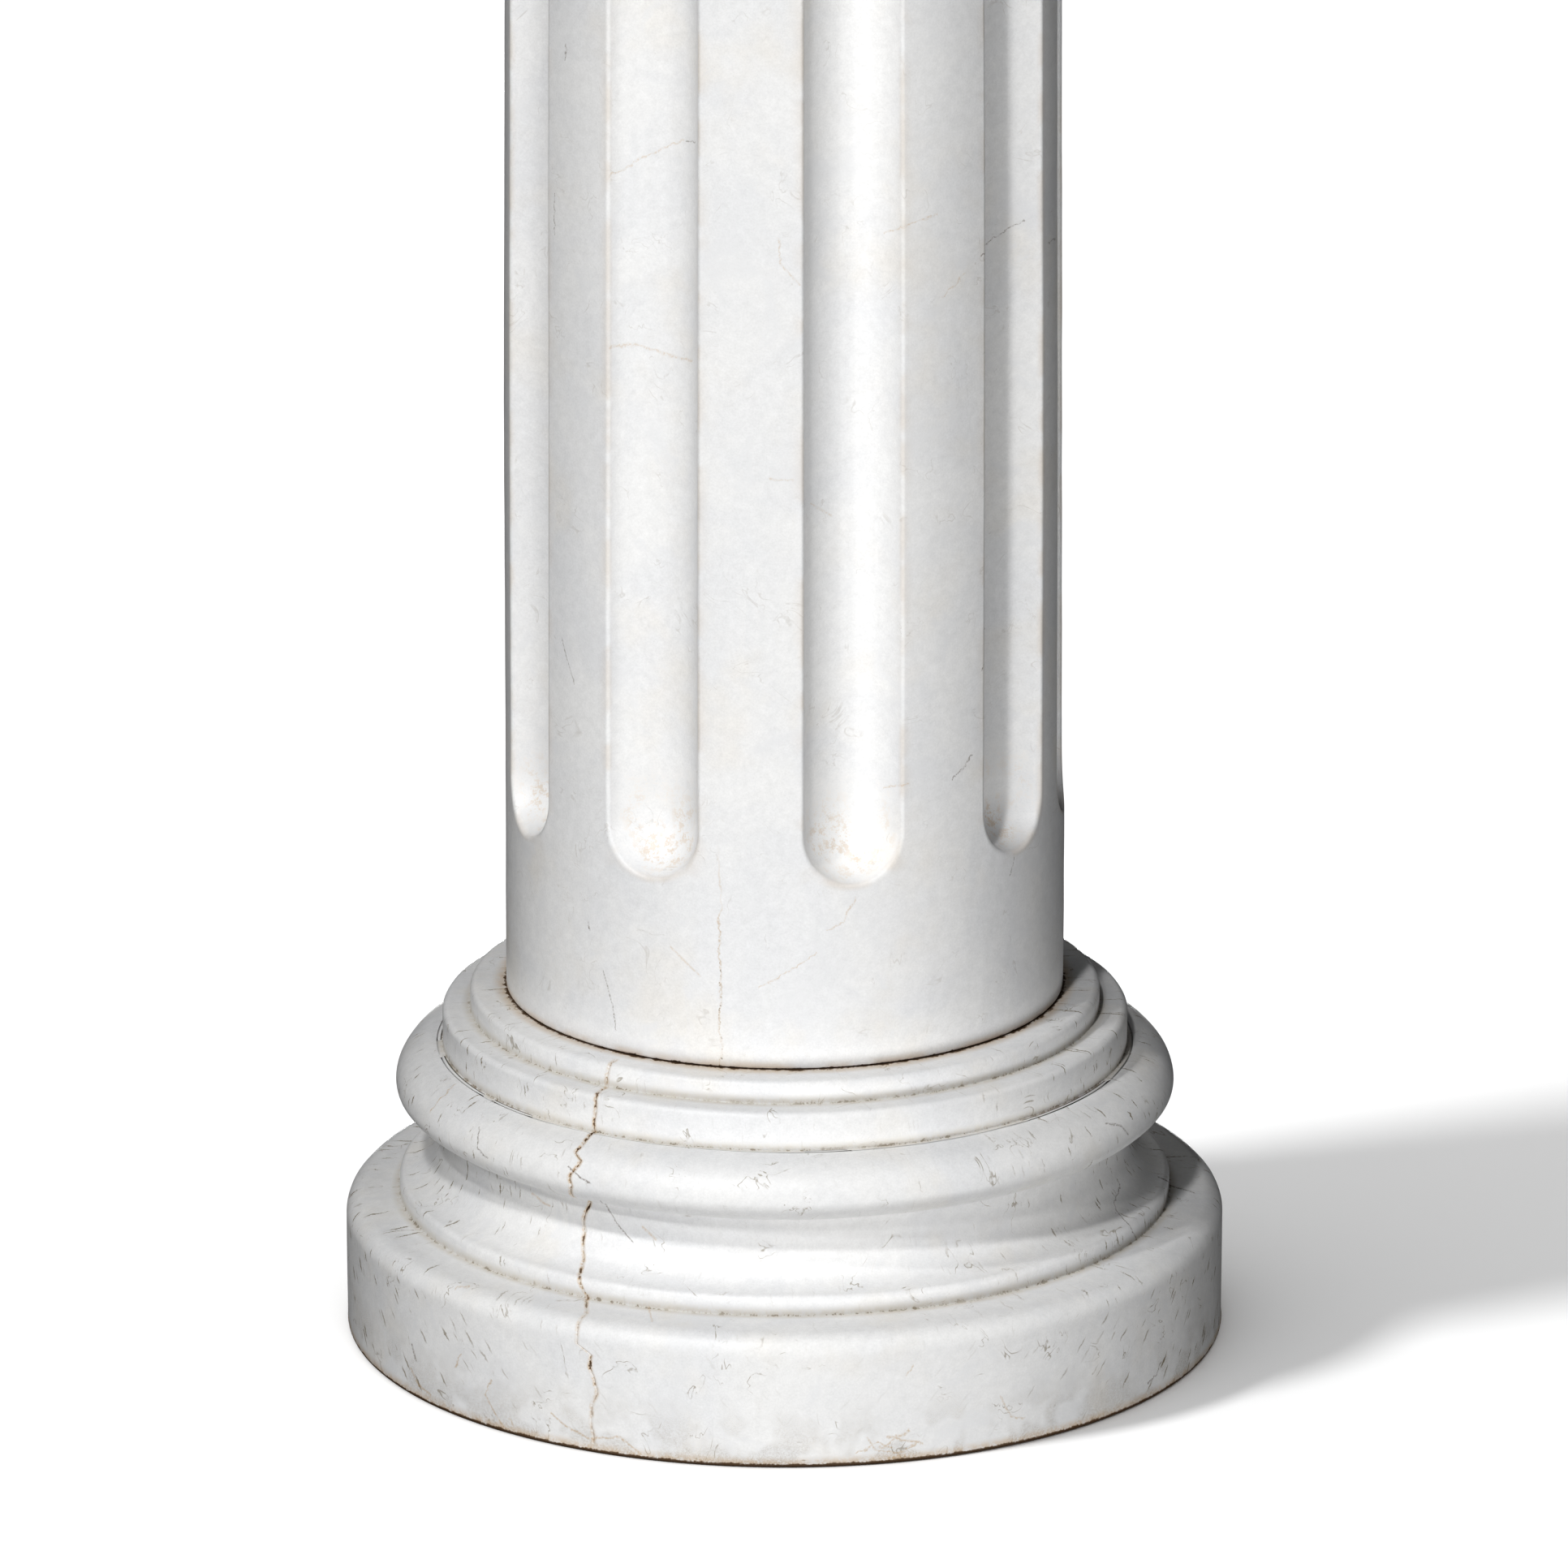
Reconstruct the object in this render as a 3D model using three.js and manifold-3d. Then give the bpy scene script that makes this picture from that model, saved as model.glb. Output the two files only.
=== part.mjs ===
// A round marble column: a moulded base turned from one block, a fluted shaft, and a plain capital.
// Millimetres, +Z up. The origin is the middle of the underside, where the column stands.
// Angles round the column start at the front (-Y) and grow towards +X.
import * as THREE from 'three';
import { mergeVertices } from 'three/addons/utils/BufferGeometryUtils.js';
import Module from 'manifold-3d';

// Driving sizes of the whole column
const shaftRadius = 200;
const diameter = 2 * shaftRadius;
const columnHeight = 7 * diameter;
const bedGap = 0.3;

// Base: round plinth
const plinthRadius = 1.5825 * shaftRadius;
const plinthHeight = 99;
const plinthFall = 1.5;
const plinthEdge = 15;
const footEdge = 3;

// Base: lower fillet and scotia
const filletRadius = 1.39 * shaftRadius;
const filletTop = 113.5;
const scotiaThroatRadius = 1.23 * shaftRadius;
const scotiaThroatHeight = 148;

// Base: torus, flatter below its widest line than above it. The scotia meets it torusMeet degrees below
// that line.
const torusRadius = 1.4 * shaftRadius;
const torusReach = 34;
const torusHeight = 182.5;
const torusFoot = 163;
const torusMeet = 80;

// Base: two stepped rings that carry the shaft
const lowerRingRadius = 1.23 * shaftRadius;
const lowerRingFoot = 210.5;
const upperRingRadius = 1.13 * shaftRadius;
const upperRingFoot = 238;
const baseHeight = 254.5;
const ringEdge = 4.5;

// Capital: astragal, neck, two annulets, echinus and square abacus
const capitalHeight = diameter / 2;
const astragalRadius = 9;
const neckHeight = 52;
const annuletHeight = 8;
const annuletStep = 6;
const abacusWidth = diameter * 7 / 6;
const abacusHeight = 66;
const abacusEdge = 3;
const echinusLip = 10;

// Shaft: straight-looking foot, then the swelling draws it in to five sixths at the top
const shaftFoot = baseHeight + bedGap;
const shaftTop = columnHeight - capitalHeight - bedGap;
const shaftLength = shaftTop - shaftFoot;
const diminution = 1 / 6;
const swelling = 1.8;
const shaftRows = 6;

// Flutes: round-ended channels, their section an arc that is shallower than a half circle
const fluteWidth = 0.3525 * shaftRadius;
const fluteDepth = 0.135 * shaftRadius;
const fluteStart = 134.5;
const fluteEnd = 120;
const frontFlutes = [-67, -28, 14, 55];
const sideFluteStep = 31;
const backFlutes = 6;

// Finish of each stone: honed white marble, the shaft a little cleaner than the blocks
const baseFinish = { color: 0xe9e8e4, roughness: 0.42, metalness: 0 };
const shaftFinish = { color: 0xebebea, roughness: 0.4, metalness: 0 };
const capitalFinish = { color: 0xe8e7e3, roughness: 0.45, metalness: 0 };

// How finely the curves are faceted
const baseFacets = 64;
const shaftFacets = 64;
const capitalFacets = 40;
const fluteFacets = 16;
const mouldingSteps = 4;
const edgeSteps = 2;
const mergeDistance = 1e-4;
const samePoint = 0.01;

const wasm = await Module();
wasm.setup();

function toSolid(geometry) {
  const bare = geometry.index ? geometry.toNonIndexed() : geometry.clone();
  bare.deleteAttribute('normal');
  bare.deleteAttribute('uv');
  const merged = mergeVertices(bare, mergeDistance);
  return new wasm.Manifold(new wasm.Mesh({
    numProp: 3,
    vertProperties: new Float32Array(merged.attributes.position.array),
    triVerts: new Uint32Array(merged.index.array),
  }));
}

function toGeometry(solid) {
  const mesh = solid.getMesh();
  const geometry = new THREE.BufferGeometry();
  geometry.setAttribute('position', new THREE.BufferAttribute(mesh.vertProperties, 3));
  geometry.setIndex(new THREE.BufferAttribute(mesh.triVerts, 1));
  return geometry;
}

// Points on part of an ellipse, from one angle to another in degrees from the outward direction.
function curve(middleRadius, middleHeight, across, up, from, to, steps) {
  const points = [];
  for (let i = 0; i <= steps; i += 1) {
    const angle = THREE.MathUtils.degToRad(from + (to - from) * i / steps);
    points.push(new THREE.Vector2(
      middleRadius + across * Math.cos(angle),
      middleHeight + up * Math.sin(angle),
    ));
  }
  return points;
}

// A rounded outer edge: the quarter circle that ends a vertical face and begins a level one.
function softEdge(radius, height, edge) {
  return curve(radius - edge, height - edge, edge, edge, 0, 90, edgeSteps);
}

// Points and runs of points as one outline, with the point where two runs meet kept once.
function joined(...runs) {
  const outline = runs.flat();
  return outline.filter((point, i) => i === 0 || point.distanceTo(outline[i - 1]) > samePoint);
}

// A body of revolution about +Z, from an outline of (radius, height) points that starts and ends on the axis.
function turned(outline, facets) {
  const geometry = new THREE.LatheGeometry(outline, facets);
  geometry.rotateX(Math.PI / 2);
  return geometry;
}

function baseOutline() {
  const filletInside = filletRadius - ringEdge;
  const torusMiddle = torusRadius - torusReach;
  const torusUnder = curve(torusMiddle, torusHeight, torusReach, torusHeight - torusFoot,
    -torusMeet, 0, mouldingSteps);
  const meet = torusUnder[0];
  return joined(
    new THREE.Vector2(0, 0),
    curve(plinthRadius - footEdge, footEdge, footEdge, footEdge, -90, 0, 1),
    curve(plinthRadius - plinthEdge, plinthHeight - plinthFall - plinthEdge, plinthEdge, plinthEdge,
      0, 90, mouldingSteps),
    new THREE.Vector2(filletRadius, plinthHeight),
    softEdge(filletRadius, filletTop, ringEdge),
    curve(filletInside, scotiaThroatHeight, scotiaThroatRadius - filletInside,
      filletTop - scotiaThroatHeight, 90, 0, mouldingSteps),
    curve(meet.x, scotiaThroatHeight, scotiaThroatRadius - meet.x, meet.y - scotiaThroatHeight,
      0, 90, edgeSteps),
    torusUnder,
    curve(torusMiddle, torusHeight, torusReach, lowerRingFoot - torusHeight, 0, 90, mouldingSteps),
    softEdge(lowerRingRadius, upperRingFoot, ringEdge),
    new THREE.Vector2(upperRingRadius, upperRingFoot),
    softEdge(upperRingRadius, baseHeight, ringEdge),
    new THREE.Vector2(0, baseHeight),
  );
}

function radiusAt(height) {
  const rise = Math.min(Math.max((height - shaftFoot) / shaftLength, 0), 1);
  return shaftRadius * (1 - diminution * rise ** swelling);
}

function shaftOutline() {
  const outline = [new THREE.Vector2(0, shaftFoot)];
  for (let i = 0; i <= shaftRows; i += 1) {
    const height = shaftFoot + shaftLength * i / shaftRows;
    outline.push(new THREE.Vector2(radiusAt(height), height));
  }
  outline.push(new THREE.Vector2(0, shaftTop));
  return outline;
}

// Where the flutes are: the four in front, then the rest at even steps from the right side round the back.
function fluteAngles() {
  const last = frontFlutes[frontFlutes.length - 1];
  const first = last + sideFluteStep;
  const step = (360 + frontFlutes[0] - first) / backFlutes;
  const angles = [...frontFlutes];
  for (let i = 0; i < backFlutes; i += 1) {
    angles.push(first + i * step);
  }
  return angles;
}

// The cutter of one flute is a round-ended bar that stands proud of the shaft and follows its swelling.
function fluteCutter(angle) {
  const halfWidth = fluteWidth / 2;
  const barRadius = (halfWidth ** 2 + fluteDepth ** 2) / (2 * fluteDepth);
  const chordRadius = Math.sqrt(shaftRadius ** 2 - halfWidth ** 2);
  const standOff = (chordRadius + barRadius - fluteDepth) / shaftRadius;
  const lowest = shaftFoot + fluteStart;
  const highest = shaftTop - fluteEnd;
  const outline = curve(0, lowest + halfWidth, barRadius, barRadius, -90, 0, mouldingSteps);
  for (let i = 1; i < shaftRows; i += 1) {
    outline.push(new THREE.Vector2(barRadius, shaftFoot + shaftLength * i / shaftRows));
  }
  outline.push(...curve(0, highest - halfWidth, barRadius, barRadius, 0, 90, mouldingSteps));
  outline[0].x = 0;
  outline[outline.length - 1].x = 0;
  const geometry = turned(outline, fluteFacets);
  const position = geometry.attributes.position;
  for (let i = 0; i < position.count; i += 1) {
    const scale = radiusAt(position.getZ(i)) / shaftRadius;
    position.setX(i, position.getX(i) * scale);
    position.setY(i, (position.getY(i) - standOff * shaftRadius) * scale);
  }
  geometry.rotateZ(THREE.MathUtils.degToRad(angle));
  return geometry;
}

function shaftGeometry() {
  let shaft = toSolid(turned(shaftOutline(), shaftFacets));
  for (const angle of fluteAngles()) {
    shaft = shaft.subtract(toSolid(fluteCutter(angle)));
  }
  return toGeometry(shaft);
}

function capitalOutline() {
  const foot = columnHeight - capitalHeight;
  const neckRadius = radiusAt(shaftTop);
  const annuletFoot = foot + 2 * astragalRadius + neckHeight;
  const echinusFoot = annuletFoot + 2 * annuletHeight;
  const abacusFoot = columnHeight - abacusHeight;
  const echinusRadius = abacusWidth / 2 - echinusLip;
  const echinusStart = neckRadius + 2 * annuletStep;
  return joined(
    new THREE.Vector2(0, foot),
    curve(neckRadius, foot + astragalRadius, astragalRadius, astragalRadius, -90, 90, mouldingSteps),
    new THREE.Vector2(neckRadius, annuletFoot),
    new THREE.Vector2(neckRadius + annuletStep, annuletFoot),
    new THREE.Vector2(neckRadius + annuletStep, annuletFoot + annuletHeight),
    new THREE.Vector2(echinusStart, annuletFoot + annuletHeight),
    curve(echinusStart, abacusFoot, echinusRadius - echinusStart, echinusFoot - abacusFoot,
      90, 0, mouldingSteps),
    new THREE.Vector2(0, abacusFoot + abacusEdge),
  );
}

function abacusGeometry() {
  const half = abacusWidth / 2 - abacusEdge;
  const square = new THREE.Shape([
    new THREE.Vector2(-half, -half),
    new THREE.Vector2(half, -half),
    new THREE.Vector2(half, half),
    new THREE.Vector2(-half, half),
  ]);
  const geometry = new THREE.ExtrudeGeometry(square, {
    depth: abacusHeight - 2 * abacusEdge,
    bevelThickness: abacusEdge,
    bevelSize: abacusEdge,
    bevelSegments: edgeSteps,
  });
  geometry.translate(0, 0, columnHeight - abacusHeight + abacusEdge);
  return geometry;
}

function capitalGeometry() {
  const bell = toSolid(turned(capitalOutline(), capitalFacets));
  return toGeometry(bell.add(toSolid(abacusGeometry())));
}

function piece(name, geometry, finish) {
  const mesh = new THREE.Mesh(geometry, new THREE.MeshStandardMaterial(finish));
  mesh.name = name;
  return mesh;
}

const column = new THREE.Group();
column.add(
  piece('base', turned(baseOutline(), baseFacets), baseFinish),
  piece('shaft', shaftGeometry(), shaftFinish),
  piece('capital', capitalGeometry(), capitalFinish),
);

export default column;
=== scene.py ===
"""A white marble column on a moulded round base, with a fluted shaft and a plain capital."""
import math

import bpy
import numpy as np
from bpy.props import FloatProperty, FloatVectorProperty, IntProperty, PointerProperty
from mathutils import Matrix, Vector


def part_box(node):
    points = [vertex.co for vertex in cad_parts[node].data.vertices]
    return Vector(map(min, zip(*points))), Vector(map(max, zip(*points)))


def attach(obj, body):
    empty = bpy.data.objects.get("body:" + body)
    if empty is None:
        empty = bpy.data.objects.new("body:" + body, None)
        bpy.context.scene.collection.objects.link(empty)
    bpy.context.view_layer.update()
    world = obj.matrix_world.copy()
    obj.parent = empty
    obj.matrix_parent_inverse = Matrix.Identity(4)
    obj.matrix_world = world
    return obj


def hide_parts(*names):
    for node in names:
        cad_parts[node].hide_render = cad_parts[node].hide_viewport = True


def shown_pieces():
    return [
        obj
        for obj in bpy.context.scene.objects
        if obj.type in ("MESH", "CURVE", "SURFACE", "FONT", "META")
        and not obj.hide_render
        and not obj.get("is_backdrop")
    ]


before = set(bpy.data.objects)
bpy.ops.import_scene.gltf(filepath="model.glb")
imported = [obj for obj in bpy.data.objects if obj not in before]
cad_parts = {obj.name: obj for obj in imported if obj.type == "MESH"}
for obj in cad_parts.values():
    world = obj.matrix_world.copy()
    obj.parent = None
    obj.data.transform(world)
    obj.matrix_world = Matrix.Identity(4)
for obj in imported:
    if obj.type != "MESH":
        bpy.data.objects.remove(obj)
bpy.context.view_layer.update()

bl_info = {
    "name": "Marble column",
    "version": (1, 0, 0),
    "blender": (4, 5, 0),
    "location": "3D View > Sidebar > Column",
    "description": "Builds a white marble column on a round moulded base, ready for rendering",
    "category": "Add Mesh",
}

BASE_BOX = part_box("base")
SHAFT_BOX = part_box("shaft")
CAPITAL_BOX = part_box("capital")
BASE_TOP = BASE_BOX[1][2]
SHAFT_FOOT, SHAFT_TOP = SHAFT_BOX[0][2], SHAFT_BOX[1][2]
CAPITAL_FOOT, CAPITAL_TOP = CAPITAL_BOX[0][2], CAPITAL_BOX[1][2]

# The photo's width and the camera's focal length in pixels, and the film's width in mm.
PHOTO_SIZE = 1932
FOCAL_LENGTH = 14100
SENSOR = 36.0
CAMERA_PLACE = (-0.0005, -7.8, 2.864)
CAMERA_FALL = 17.52
FLOOR_REACH = 250.0
# A height less this share of the radius is a coordinate that runs down the whole moulded front.
FRONT_FALL = 0.344
# The base's mean radius in metres, and the angle of the shaft's upright vein in degrees.
MEAN_RADIUS = 0.28
VEIN_ANGLE = -13.1

# Greatest distances between the grid's rows on the base and the capital.
BASE_SPACING = 0.0033
CAPITAL_SPACING = 0.008
# Inside this radius the base's top is under the shaft.
UNDER_SHAFT = 0.203

# From the fourth flute of the front to the next one, at the photo's right edge, in degrees.
RIGHT_FLUTE_TURN = 31

# The crack down the base: (place down the front in mm, angle in degrees), and (place, strength). The
# close-set columns lie round its middle angle. Beside them the columns bend with it: wholly up to the first
# of the two turns, in radians, and less and less over the second. The width is the groove's, in metres.
CRACK_MIDDLE = -30.0
CRACK_BEND = (0.02, 0.24)
CRACK_WIDTH = 0.00055
CRACK_PATH = [
    (-100.0, -25.2), (-84.5, -25.3), (-72.6, -25.5), (-65.0, -24.6), (-51.0, -25.3), (-41.0, -25.6),
    (-34.4, -25.5), (-30.6, -27.3), (-15.1, -27.6), (-6.3, -27.5), (-0.1, -29.0), (8.2, -30.8),
    (16.9, -31.3), (25.0, -32.9), (42.2, -34.7), (58.0, -35.0), (65.5, -34.7), (75.8, -33.4),
    (84.2, -32.3), (92.1, -32.9), (104.1, -31.2), (109.4, -32.9), (119.3, -32.6), (128.8, -32.8),
    (142.4, -32.5), (153.1, -32.7), (165.5, -33.6), (181.0, -33.4),
]
CRACK_FORCE = [
    (-100.0, 0.9), (-92.0, 0.3), (-66.0, 0.45), (-50.0, 0.95), (-38.0, 1.0), (-30.0, 0.2),
    (-12.0, 0.45), (-1.0, 0.6), (6.0, 1.0), (20.0, 0.9), (40.0, 0.75), (60.0, 1.0),
    (90.0, 1.0), (110.0, 1.0), (140.0, 0.9), (160.0, 0.7), (181.0, 0.6),
]


# Surfaces

def ellipse_run(middle, reach, start, end, steps):
    """Points on part of an ellipse: middle plus reach times the cosine and sine of the angle, in degrees."""
    angle = np.radians(np.linspace(start, end, steps + 1))
    return np.stack((middle[0] + reach[0] * np.cos(angle), middle[1] + reach[1] * np.sin(angle)), axis=1)


def outer_edge(radius, height, edge, steps):
    """The quarter circle that ends an upright face at this radius and begins a level one at this height."""
    return ellipse_run((radius - edge, height - edge), (edge, edge), 0, 90, steps)


def inner_corner(radius, height, edge, steps):
    """The hollow quarter circle between a level face at this height and the upright face above it.

    Points at growing distances lead up to it and away from it, so soil in the corner has rows to lie on.
    """
    near = edge + np.array([0.0035, 0.0015])
    before = np.stack((radius + near, np.full(2, height)), axis=1)
    after = np.stack((np.full(2, radius), height + near[::-1]), axis=1)
    turn = ellipse_run((radius + edge, height + edge), (-edge, -edge), 90, 0, steps)
    return np.concatenate((before, turn, after))


def filled_outline(runs, spacing):
    """The runs joined into one outline; a straight stretch longer than spacing gets even points between."""
    points = np.concatenate([np.atleast_2d(np.asarray(run, float)) for run in runs])
    apart = np.linalg.norm(np.diff(points, axis=0), axis=1)
    points = points[np.concatenate(([True], apart > 1e-6))]
    apart = np.linalg.norm(np.diff(points, axis=0), axis=1)
    parts = np.maximum(np.ceil(apart / spacing).astype(int), 1)
    first = np.repeat(np.arange(len(parts)), parts)
    step = np.arange(parts.sum()) - np.repeat(np.cumsum(parts) - parts, parts)
    share = (step / parts[first])[:, None]
    between = points[first] * (1 - share) + points[first + 1] * share
    return np.concatenate((between, points[-1:]))


def outline_normals(outline):
    """Unit normals of an outline of (radius, height): its direction turned a quarter turn outwards."""
    along = np.gradient(outline, axis=0)
    along /= np.linalg.norm(along, axis=1, keepdims=True)
    return np.stack((along[:, 1], -along[:, 0]), axis=1)


def turned_grid(radius, angle, height):
    """x is radius times sine, y is minus radius times cosine, so angle 0 is the front; z is height."""
    return np.stack(np.broadcast_arrays(radius * np.sin(angle), -radius * np.cos(angle), height), axis=-1)


def hand_work(points, wavelength, seed):
    """A smooth unevenness between about -1 and 1: a sum of sine waves that cross space in random ways."""
    rng = np.random.default_rng(seed)
    ways = rng.normal(size=(9, 3))
    spread = rng.uniform(0.7, 1.4, (9, 1))
    ways *= (2 * math.pi / wavelength) * spread / np.linalg.norm(ways, axis=1, keepdims=True)
    shifts = rng.uniform(0, 2 * math.pi, 9)
    return np.sin(points @ ways.T + shifts).sum(axis=-1) / 4.5


def closed_mesh(name, grid, marks):
    """A closed skin over rows of points that go round the axis: quads between the rows, a fan at each end.

    A corner's shading normal is the sum of its faces' normals, each as long as its face is large: the cross
    product of a quad's diagonals, or of two sides of a triangle.
    """
    rows, columns = grid.shape[:2]
    points = np.concatenate((grid.reshape(-1, 3), [grid[0].mean(axis=0), grid[-1].mean(axis=0)]))
    index = np.arange(rows * columns).reshape(rows, columns)
    after = np.roll(index, -1, axis=1)
    quads = np.stack((index[:-1], after[:-1], after[1:], index[1:]), axis=-1).reshape(-1, 4)
    low_pole = np.full(columns, rows * columns)
    low = np.stack((low_pole, after[0], index[0]), axis=-1)
    high = np.stack((low_pole + 1, index[-1], after[-1]), axis=-1)
    fans = np.concatenate((low, high))

    mesh = bpy.data.meshes.new(name)
    mesh.vertices.add(len(points))
    mesh.vertices.foreach_set("co", points.astype(np.float32).ravel())
    mesh.loops.add(quads.size + fans.size)
    mesh.loops.foreach_set("vertex_index", np.concatenate((quads.ravel(), fans.ravel())).astype(np.int32))
    starts = np.concatenate((np.arange(len(quads)) * 4, quads.size + np.arange(len(fans)) * 3))
    mesh.polygons.add(len(starts))
    mesh.polygons.foreach_set("loop_start", starts.astype(np.int32))
    mesh.polygons.foreach_set("use_smooth", np.ones(len(starts), bool))
    mesh.update(calc_edges=True)

    normal = np.zeros_like(points)
    for faces in (quads, fans):
        corner = points[faces]
        last = corner[:, 3 % faces.shape[1]]
        face_normal = np.cross(corner[:, 2] - corner[:, 0], last - corner[:, 1])
        for column in faces.T:
            np.add.at(normal, column, face_normal)
    normal /= np.linalg.norm(normal, axis=1, keepdims=True)
    mesh.normals_split_custom_set_from_vertices(normal.astype(np.float32))

    for mark, value in marks.items():
        layer = mesh.attributes.new(mark, "FLOAT", "POINT")
        level = np.broadcast_to(value, grid.shape[:2]).ravel()
        layer.data.foreach_set("value", np.concatenate((level, [0, 0])).astype(np.float32))
    piece = bpy.data.objects.new(name, mesh)
    bpy.context.scene.collection.objects.link(piece)
    return piece


def from_corners(outline, corners):
    """Distance of each point from the nearest of the hollow corners, measured along the outline."""
    run = np.concatenate(([0], np.cumsum(np.linalg.norm(np.diff(outline, axis=0), axis=1))))
    places = [run[np.linalg.norm(outline - corner, axis=1).argmin()] for corner in corners]
    return np.abs(run[:, None] - places).min(axis=1)


def base_outline(size):
    """The moulded outline from the underside up: plinth, fillet, scotia, torus and the two rings."""
    tight = size.corner
    inside = size.fillet_radius - size.ring_edge
    middle = size.torus_radius - size.torus_reach
    throat, widest = size.scotia_height, size.torus_height
    under = ellipse_run((middle, widest), (size.torus_reach, widest - size.torus_foot), -80, 0, 16)
    meet = under[0]
    fall = size.plinth_fall
    edge = size.plinth_edge
    foot = size.foot_edge
    return [
        [(0.12, 0), (0.24, 0), (0.30, 0)],
        ellipse_run((size.plinth_radius - foot, foot), (foot, foot), -90, 0, 5),
        outer_edge(size.plinth_radius, size.plinth_height - fall, edge, 12),
        inner_corner(size.fillet_radius, size.plinth_height, tight, 4),
        outer_edge(size.fillet_radius, size.fillet_top, size.ring_edge, 8),
        ellipse_run((inside, throat), (size.scotia_radius - inside, size.fillet_top - throat), 90, 0, 20),
        ellipse_run((meet[0], throat), (size.scotia_radius - meet[0], meet[1] - throat), 0, 82, 9),
        under,
        ellipse_run((middle, widest), (size.torus_reach, size.lower_ring_foot - widest), 0, 89, 20),
        inner_corner(size.lower_ring_radius, size.lower_ring_foot, tight, 4),
        outer_edge(size.lower_ring_radius, size.upper_ring_foot, size.ring_edge, 8),
        inner_corner(size.upper_ring_radius, size.upper_ring_foot, tight, 4),
        outer_edge(size.upper_ring_radius, size.base_height, size.ring_edge, 8),
        [(radius, size.base_height) for radius in (UNDER_SHAFT, 0.197, 0.1)],
    ]


def crack_turns(outline, size):
    """Angle of the crack at each point of the outline, and its strength there.

    The angle is read from the drawn path by the coordinate down the front. To it come random steps, one for
    each 2 mm and one for each 7 mm of the outline, which make the line ragged.
    """
    down = outline[:, 1] - FRONT_FALL * outline[:, 0]
    path, force = np.array(CRACK_PATH), np.array(CRACK_FORCE)
    angle = np.radians(np.interp(down, path[:, 0] * 0.001, path[:, 1]))
    strength = np.interp(down, force[:, 0] * 0.001, force[:, 1], left=0, right=0)
    run = np.concatenate(([0], np.cumsum(np.linalg.norm(np.diff(outline, axis=0), axis=1))))
    rng = np.random.default_rng(41)
    for step, wide in ((0.002, 0.00045), (0.007, 0.0011)):
        places = np.arange(0, run[-1] + step, step)
        ragged = np.interp(run, places, rng.uniform(-1, 1, len(places)))
        angle += wide * size.crack_raggedness * ragged / outline[:, 0]
    return angle, strength


def base_columns(outline, size):
    """Angles of the grid round each row: even ones, bent so that a close-set bundle runs along the crack.

    Near the middle of the bundle a column moves as far as the crack does, and 15 degrees away not at all.
    """
    close = np.array([0.06, 0.13, 0.24, 0.42, 0.7])
    even = np.arange(size.columns) * 360 / size.columns - 180
    middle = CRACK_MIDDLE
    even = even[np.abs(even - middle) > 0.9]
    angle = np.radians(np.sort(np.concatenate((even, [middle], middle - close, middle + close))))
    crack, strength = crack_turns(outline, size)
    middle = math.radians(middle)
    window = 1 - smooth_step((np.abs(angle - middle) - CRACK_BEND[0]) / CRACK_BEND[1])
    turned = angle + (crack[:, None] - middle) * window
    return turned, turned - crack[:, None], strength


def base_grid(size):
    """The outline turned round the axis, moved along its normals by the hand-worked unevenness and the crack.

    The crack is a groove as deep as its strength says, and it fades with the square of the distance from it.
    """
    outline = filled_outline(base_outline(size), BASE_SPACING)
    seen = (outline[:, 0] > UNDER_SHAFT + 0.002) & (outline[:, 1] > 0)
    keep = seen | (np.arange(len(outline)) % 6 == 0) | (np.abs(outline[:, 0] - UNDER_SHAFT) < 0.002)
    keep[[0, -1]] = True
    outline = outline[keep]
    normals = outline_normals(outline)
    angle, beside, strength = base_columns(outline, size)
    grid = turned_grid(outline[:, 0, None], angle, outline[:, 1, None])
    uneven = 0.7 * hand_work(grid, 0.21, 11) + 0.3 * hand_work(grid, 0.06, 12)
    outside = (outline[:, 0] > UNDER_SHAFT) & (outline[:, 1] > size.foot_edge)
    away = beside * outline[:, 0, None]
    groove = size.crack_depth * strength[:, None] * np.exp(-(away / CRACK_WIDTH) ** 2)
    depth = (size.unevenness * uneven - groove) * outside[:, None]
    grid = turned_grid(outline[:, 0, None] + depth * normals[:, 0, None], angle,
                       outline[:, 1, None] + depth * normals[:, 1, None])
    corners = [
        (size.fillet_radius, size.plinth_height),
        (size.lower_ring_radius, size.lower_ring_foot),
        (size.upper_ring_radius, size.upper_ring_foot),
    ]
    marks = {
        "from_corner": from_corners(outline, corners)[:, None],
        "from_crack": np.clip(away, -0.05, 0.05),
        "crack_strength": strength[:, None],
    }
    return grid, marks


def shaft_radius(size, height):
    """The foot radius less its diminution times the rise, from 0 to 1, to the power of the swelling."""
    rise = np.clip((height - SHAFT_FOOT) / (SHAFT_TOP - SHAFT_FOOT), 0, 1)
    return size.foot_radius * (1 - size.diminution * rise ** size.swelling)


def smooth_step(value):
    """3 t squared less 2 t cubed, with t kept between 0 and 1."""
    t = np.clip(value, 0, 1)
    return t * t * (3 - 2 * t)


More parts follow.
